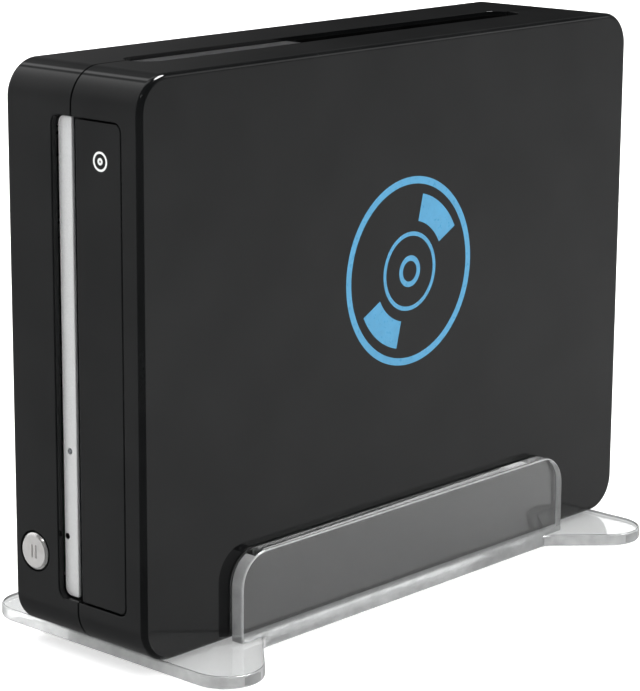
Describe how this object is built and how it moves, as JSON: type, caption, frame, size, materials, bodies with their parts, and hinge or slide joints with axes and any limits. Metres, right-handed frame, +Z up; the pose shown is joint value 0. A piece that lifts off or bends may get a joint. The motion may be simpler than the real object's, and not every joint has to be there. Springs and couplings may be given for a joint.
{
  "type": "external disc drive",
  "caption": "Upright external disc drive: two-half glossy case with a loading tray, trim strip and round button, held in a clear stand with side fences and splayed ears.",
  "frame": {"origin": "on the floor, under the middle of the box round the whole object", "axes": "+X to the viewer's right when facing the tray, +Y from the front to the rear, +Z up"},
  "size_m": [0.1082, 0.2371, 0.1833],
  "materials": {
    "clear_acrylic": "clear, polished",
    "gloss_black": "high gloss",
    "silver_paint": "satin silver paint",
    "matt_black": "matt",
    "black_moulding": "fine matt",
    "zinc_steel": "zinc plated",
    "black_rubber": "matt",
    "circuit_board": "satin varnish",
    "connector_blue": "satin",
    "light_pipe": "diffuse",
    "lens_glass": "polished"
  },
  "bodies": {
    "stand": {"stand": "clear_acrylic"},
    "case": {"right_shell": "gloss_black", "left_shell": "gloss_black", "vent_insert": "gloss_black", "front_trim_strip": "silver_paint", "activity_light_pipe": "light_pipe", "drive_bezel": "matt_black", "rear_panel": "matt_black", "power_switch_frame": "black_moulding", "dc_jack": "black_moulding", "usb_socket": "zinc_steel", "usb_tongue": "connector_blue", "esata_socket": "black_moulding", "bridge_board": "circuit_board", "bridge_chip": "black_moulding", "drive_cable_plug": "black_moulding", "eject_switch": "black_moulding", "front_switch_board": "circuit_board", "drive_bracket_upper": "zinc_steel", "drive_bracket_lower": "zinc_steel", "drive_bottom_cover": "zinc_steel", "drive_top_cover": "zinc_steel", "drive_chassis": "matt_black", "main_board": "circuit_board", "drive_connector": "black_moulding", "loading_belt": "black_rubber", "loading_motor": "zinc_steel", "clamp_bridge": "zinc_steel", "case_screw_1": "zinc_steel", "drive_screw_1": "zinc_steel", "case_foot_1": "black_rubber", "case_screw_2": "zinc_steel", "drive_screw_2": "zinc_steel", "case_foot_2": "black_rubber", "case_screw_3": "zinc_steel", "drive_screw_3": "zinc_steel", "case_foot_3": "black_rubber", "case_screw_4": "zinc_steel", "drive_screw_4": "zinc_steel", "case_foot_4": "black_rubber"},
    "eject_button": {"eject_button": "silver_paint"},
    "power_rocker": {"power_rocker": "matt_black"},
    "tray": {"disc_tray": "matt_black", "tray_front_panel": "gloss_black"},
    "tray_gear": {"tray_drive_gear": "matt_black"},
    "belt_gear": {"belt_gear": "matt_black"},
    "motor_pulley": {"motor_pulley": "matt_black"},
    "traverse": {"traverse_frame": "zinc_steel", "spindle_motor": "zinc_steel", "guide_rod_1": "zinc_steel", "guide_rod_2": "zinc_steel", "sled_motor": "zinc_steel"},
    "cam_slider": {"cam_slider": "matt_black"},
    "turntable": {"turntable": "black_moulding"},
    "clamp_disc": {"clamp_disc": "matt_black"},
    "pickup_sled": {"pickup_sled": "matt_black", "objective_lens": "lens_glass"},
    "lead_screw": {"lead_screw": "zinc_steel"}
  },
  "joints": [
    {"name": "case_lift", "type": "slide", "parent": "stand", "child": "case", "axis": [0, 0, 1], "range_m": [0, 0.04]},
    {"name": "button_press", "type": "slide", "parent": "case", "child": "eject_button", "axis": [0, 1, 0], "range_m": [0, 0.0012], "stiffness_N_per_m": 120, "springref_m": -0.003},
    {"name": "rocker_tilt", "type": "hinge", "parent": "case", "child": "power_rocker", "pos_m": [0, 0.11175, 0.1373], "axis": [1, 0, 0], "range_deg": [0, 16]},
    {"name": "tray_slide", "type": "slide", "parent": "case", "child": "tray", "axis": [0, -1, 0], "range_m": [0, 0.138]},
    {"name": "tray_gear_spin", "type": "hinge", "parent": "case", "child": "tray_gear", "pos_m": [0, -0.09225, 0.0499], "axis": [1, 0, 0], "continuous": true},
    {"name": "belt_gear_spin", "type": "hinge", "parent": "case", "child": "belt_gear", "pos_m": [0, -0.09225, 0.0689], "axis": [1, 0, 0], "continuous": true},
    {"name": "motor_pulley_spin", "type": "hinge", "parent": "case", "child": "motor_pulley", "pos_m": [0, -0.09225, 0.1069], "axis": [1, 0, 0], "continuous": true},
    {"name": "traverse_tilt", "type": "hinge", "parent": "case", "child": "traverse", "pos_m": [0.00025, 0.03925, 0.0938], "axis": [0, 0, 1], "range_deg": [0, 5.5]},
    {"name": "cam_slide", "type": "slide", "parent": "case", "child": "cam_slider", "axis": [0, 0, -1], "range_m": [0, 0.018]},
    {"name": "turntable_spin", "type": "hinge", "parent": "traverse", "child": "turntable", "pos_m": [0.00305, -0.04591, 0.0938], "axis": [0.9954, -0.0958, 0], "continuous": true},
    {"name": "clamp_spin", "type": "hinge", "parent": "case", "child": "clamp_disc", "pos_m": [0.016, -0.04525, 0.0938], "axis": [1, 0, 0], "continuous": true},
    {"name": "sled_slide", "type": "slide", "parent": "traverse", "child": "pickup_sled", "axis": [0.0958, 0.9954, 0], "range_m": [0, 0.035]},
    {"name": "lead_screw_spin", "type": "hinge", "parent": "traverse", "child": "lead_screw", "pos_m": [-0.00297, -0.02283, 0.1333], "axis": [0.0958, 0.9954, 0], "continuous": true}
  ],
  "couplings": [
    {"joint": "tray_gear_spin", "follows": "tray_slide", "rad_per_m": -71.429},
    {"joint": "belt_gear_spin", "follows": "tray_slide", "rad_per_m": 200},
    {"joint": "motor_pulley_spin", "follows": "tray_slide", "rad_per_m": 539.39},
    {"joint": "cam_slide", "follows": "traverse_tilt", "m_per_rad": 0.18751},
    {"joint": "clamp_spin", "follows": "turntable_spin", "ratio": 1},
    {"joint": "lead_screw_spin", "follows": "sled_slide", "rad_per_m": -2094.4}
  ]
}
